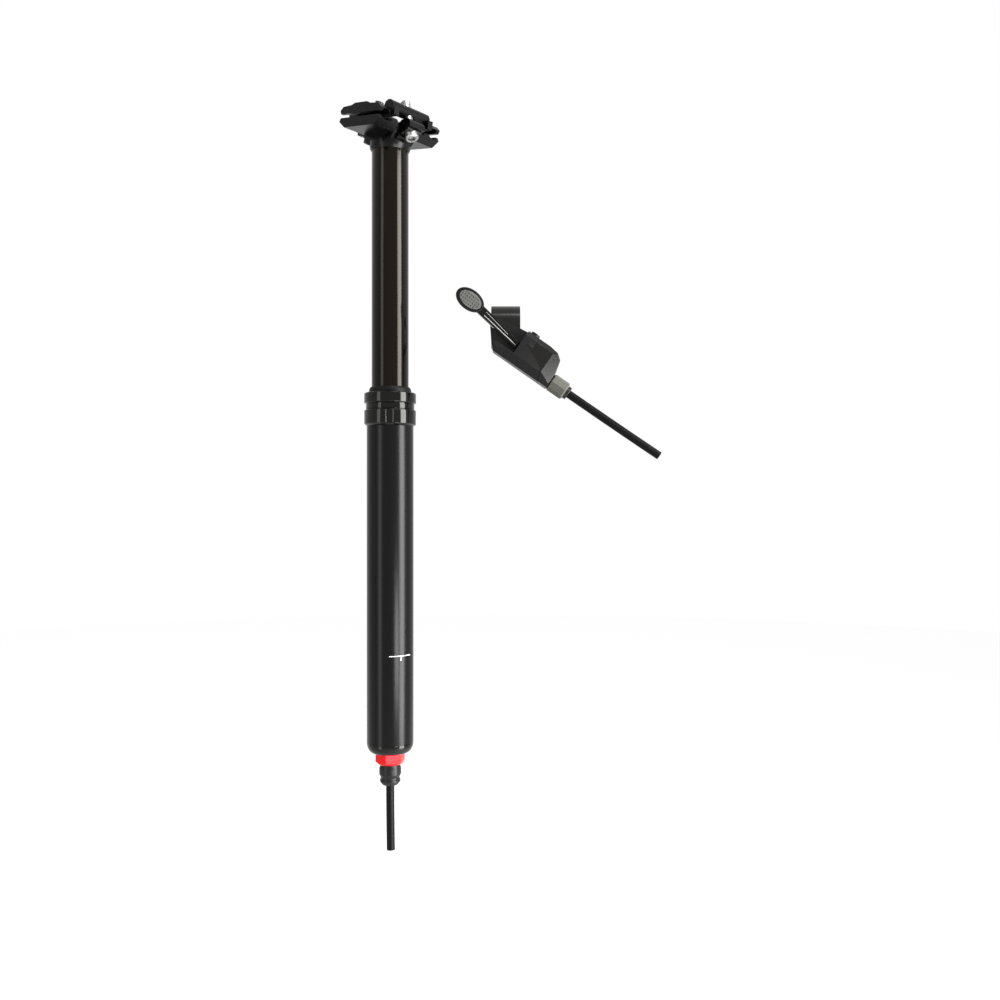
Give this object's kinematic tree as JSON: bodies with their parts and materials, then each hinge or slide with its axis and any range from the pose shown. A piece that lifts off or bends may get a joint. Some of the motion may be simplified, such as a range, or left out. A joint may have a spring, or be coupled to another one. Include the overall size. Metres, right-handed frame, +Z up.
{
  "type": "dropper seatpost",
  "caption": "Telescoping bicycle seatpost with a two-bolt saddle clamp, a hydraulic lock and a thumb-paddle remote, each with a short hose.",
  "frame": {"origin": "on the post's axis at the underside of the collar, which rests on the frame's seat tube", "axes": "+Z up along the post, +X towards the saddle's nose, +Y to the rider's left"},
  "size_m": [0.1676, 0.1476, 0.5122],
  "materials": {
    "black_anodised": "gloss black anodised tube",
    "satin_black": "satin black anodised tube",
    "collar_black": "gloss black anodised, turned",
    "forged_black": "satin black forging",
    "bright_steel": "bright plated",
    "dark_steel": "blackened",
    "red_anodised": "bright red anodised",
    "black_rubber": "matte seal rubber",
    "black_plastic": "semi-gloss moulded",
    "matte_plastic": "matte moulded",
    "dial_grey": "satin grey",
    "pad_grey": "textured grip",
    "bushing_plastic": "slide bearing",
    "brass": "machined",
    "hose_black": "matte hose jacket"
  },
  "bodies": {
    "root": {"outer_tube": "satin_black", "top_collar": "collar_black", "wiper_seal": "black_rubber", "upper_bushing": "bushing_plastic", "bottom_cap": "collar_black", "connector_hex": "red_anodised", "connector_barrel": "matte_plastic", "post_hose": "hose_black", "inner_shaft": "bright_steel", "main_piston": "brass", "piston_seal": "black_rubber", "valve_cage": "dark_steel", "poppet_spring": "bright_steel", "remote_body": "black_plastic", "remote_cover": "black_plastic", "bar_band": "collar_black", "band_bolt": "dark_steel", "band_screw": "dark_steel", "pivot_pin": "dark_steel", "master_spring": "bright_steel", "bleed_screw": "dark_steel", "hose_ferrule": "dark_steel", "remote_hose": "hose_black"},
    "poppet_valve": {"poppet": "bright_steel"},
    "sliding_post": {"stanchion": "black_anodised", "guide_keys": "brass", "lower_bushing": "bushing_plastic", "seal_head": "dark_steel", "shaft_seal": "black_rubber", "topout_bumper": "black_rubber", "head": "forged_black", "air_valve": "brass", "valve_cap": "matte_plastic"},
    "gas_piston": {"floating_piston": "brass", "floating_seal": "black_rubber"},
    "saddle_clamp": {"cradle": "forged_black", "upper_clamp_left": "forged_black", "upper_clamp_right": "forged_black"},
    "front_bolt_set": {"front_bolt": "bright_steel", "front_bolt_washer": "dark_steel"},
    "rear_bolt_set": {"rear_bolt": "dark_steel", "rear_bolt_washer": "dark_steel"},
    "front_nut": {"front_barrel_nut": "bright_steel"},
    "rear_nut": {"rear_barrel_nut": "dark_steel"},
    "paddle": {"paddle_arm": "black_plastic", "paddle_pad": "pad_grey", "pivot_bushing": "bushing_plastic"},
    "plunger": {"master_piston": "brass", "master_seal": "black_rubber"},
    "dial": {"speed_dial": "dial_grey"}
  },
  "joints": [
    {"name": "post_slide", "type": "slide", "parent": "root", "child": "sliding_post", "axis": [0, 0, 1], "range_m": [-0.15, 0]},
    {"name": "gas_piston_slide", "type": "slide", "parent": "sliding_post", "child": "gas_piston", "axis": [0, 0, 1], "range_m": [0, 0.038]},
    {"name": "clamp_tilt", "type": "hinge", "parent": "sliding_post", "child": "saddle_clamp", "pos_m": [0, 0, 0.204], "axis": [0, 1, 0], "range_deg": [-5, 5]},
    {"name": "front_bolt_lean", "type": "hinge", "parent": "sliding_post", "child": "front_bolt_set", "pos_m": [0.0196, 0, 0.1962], "axis": [0, 1, 0], "range_deg": [-0.4, 0.4]},
    {"name": "front_nut_turn", "type": "hinge", "parent": "saddle_clamp", "child": "front_nut", "pos_m": [0.01655, 0, 0.2086], "axis": [0, 1, 0], "range_deg": [-5, 5]},
    {"name": "rear_bolt_lean", "type": "hinge", "parent": "sliding_post", "child": "rear_bolt_set", "pos_m": [-0.0185, 0, 0.202], "axis": [0, 1, 0], "range_deg": [-1.92, 1.92]},
    {"name": "rear_nut_turn", "type": "hinge", "parent": "saddle_clamp", "child": "rear_nut", "pos_m": [-0.01398, 0, 0.21398], "axis": [0, 1, 0], "range_deg": [-3.48, 3.48]},
    {"name": "paddle_press", "type": "hinge", "parent": "root", "child": "paddle", "pos_m": [0.07144, 0.05603, 0.05002], "axis": [-0.4372, -0.3668, -0.8211], "range_deg": [0, 15], "stiffness_Nm_per_rad": 1.2, "springref_deg": -8.59},
    {"name": "plunger_slide", "type": "slide", "parent": "root", "child": "plunger", "axis": [0.629, 0.5278, -0.5707], "range_m": [0, 0.0022], "deforming": ["master_spring"]},
    {"name": "poppet_lift", "type": "slide", "parent": "root", "child": "poppet_valve", "axis": [0, 0, 1], "range_m": [0, 0.0015], "deforming": ["poppet_spring"]},
    {"name": "dial_turn", "type": "hinge", "parent": "root", "child": "dial", "pos_m": [0.0835, 0.07007, 0.03063], "axis": [0.629, 0.5278, -0.5707], "range_deg": [-135, 135]}
  ],
  "couplings": [
    {"joint": "gas_piston_slide", "follows": "post_slide", "ratio": -0.25},
    {"joint": "front_bolt_lean", "follows": "clamp_tilt", "ratio": 0.039815},
    {"joint": "front_nut_turn", "follows": "clamp_tilt", "ratio": -0.96018},
    {"joint": "rear_bolt_lean", "follows": "clamp_tilt", "ratio": 0.34372},
    {"joint": "rear_nut_turn", "follows": "clamp_tilt", "ratio": -0.65628},
    {"joint": "plunger_slide", "follows": "paddle_press", "m_per_rad": 0.0077},
    {"joint": "poppet_lift", "follows": "paddle_press", "m_per_rad": 0.0056}
  ]
}
